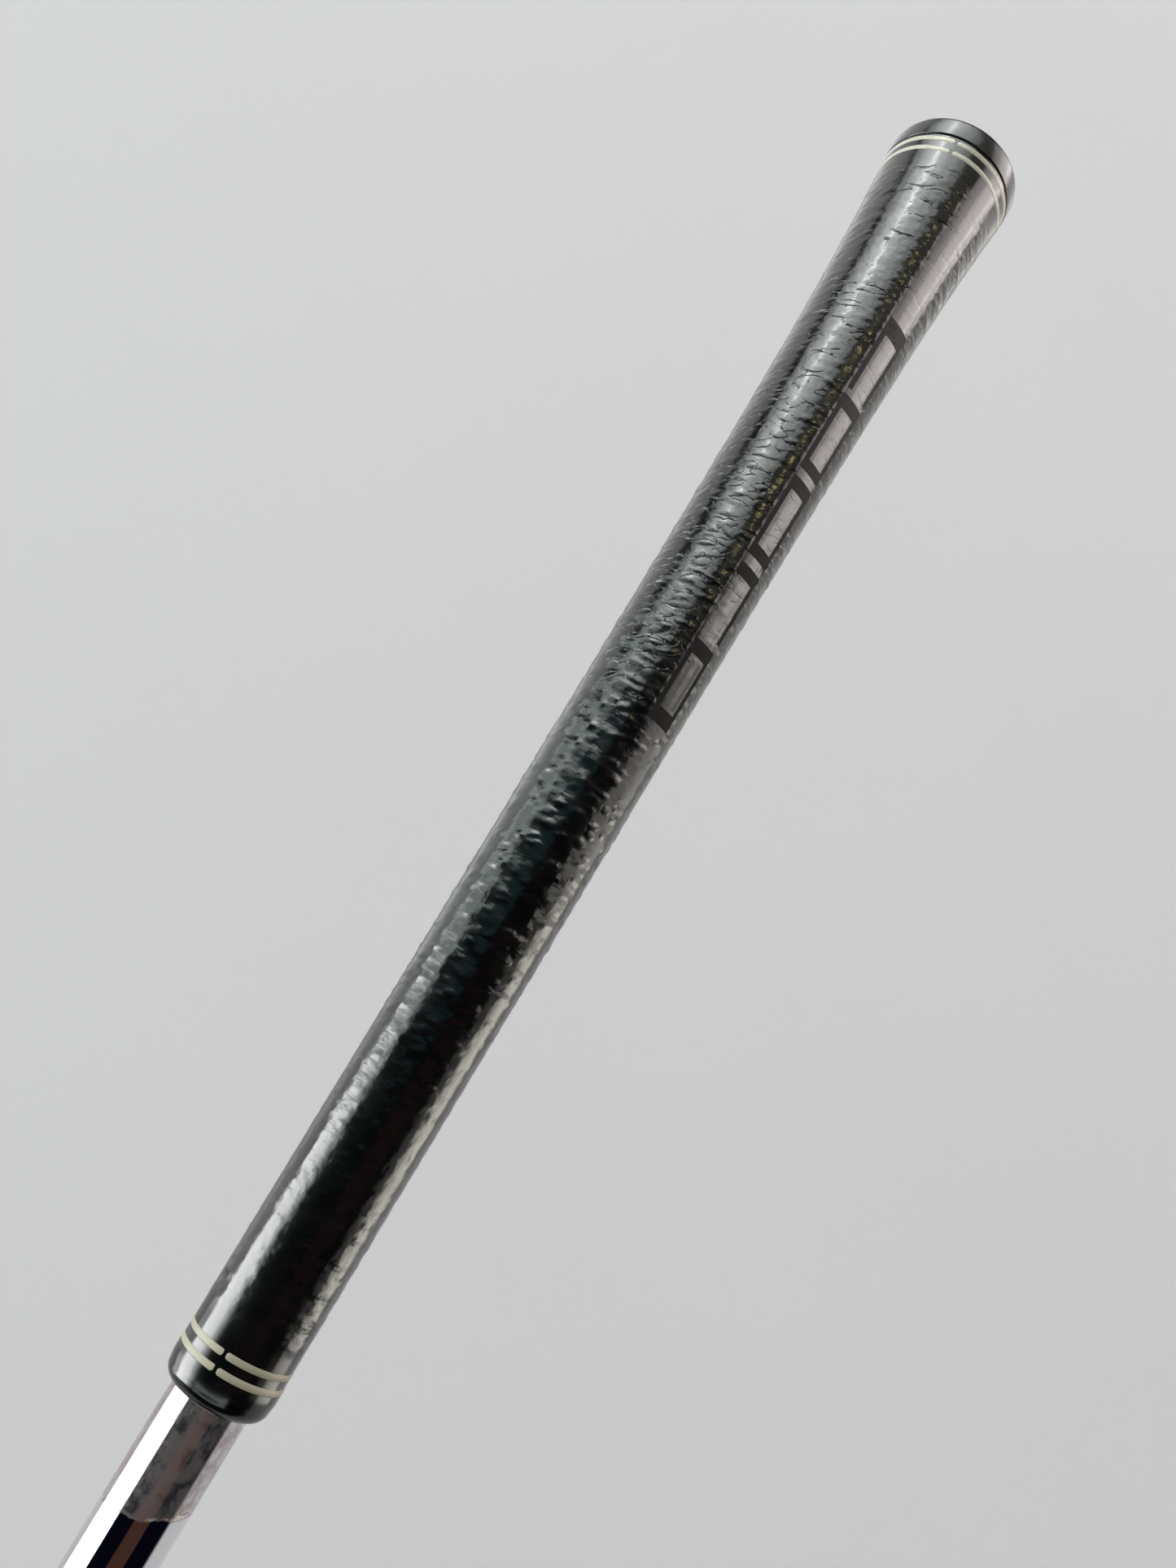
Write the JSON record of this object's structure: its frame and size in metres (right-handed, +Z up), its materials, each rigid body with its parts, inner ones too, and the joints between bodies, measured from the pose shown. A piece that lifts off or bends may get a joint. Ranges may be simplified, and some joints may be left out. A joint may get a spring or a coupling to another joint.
{
  "type": "golf grip",
  "caption": "Flared rubber golf grip with painted end rings and inked label frames, taped onto the butt end of a tapered chrome steel shaft.",
  "frame": {"origin": "middle of the bottom of the bounding box: the grip lies along X and the underside of its butt cap touches Z = 0", "axes": "+X along the grip's axis towards the butt cap, +Z up, the label frames on the upper -Y side; the grip's axis is at Z = 14.05 mm"},
  "size_m": [0.3116, 0.0282, 0.0281],
  "materials": {
    "sleeve_rubber": "moulded, glossy from handling, with a fine crescent-grain relief",
    "cap_rubber": "smooth, glossy",
    "shaft_chrome": "mirror polished",
    "grip_tape": "crepe paper, matt",
    "ring_paint": "cream enamel paint, satin",
    "label_ink": "dark brown-grey printed ink, matt",
    "label_line_ink": "grey printed ink, matt"
  },
  "bodies": {
    "root": {"grip_sleeve": "sleeve_rubber", "end_cap": "cap_rubber", "shaft_tube": "shaft_chrome", "grip_tape": "grip_tape", "butt_outer_ring_left": "ring_paint", "butt_outer_ring_right": "ring_paint", "butt_inner_ring_left": "ring_paint", "butt_inner_ring_right": "ring_paint", "mouth_inner_ring_left": "ring_paint", "mouth_inner_ring_right": "ring_paint", "mouth_outer_ring_left": "ring_paint", "mouth_outer_ring_right": "ring_paint", "label_frame_1": "label_ink", "label_frame_2": "label_ink", "label_frame_3": "label_ink", "label_frame_4": "label_ink", "label_frame_5": "label_ink", "label_line_1": "label_line_ink", "label_line_2": "label_line_ink"}
  },
  "joints": []
}
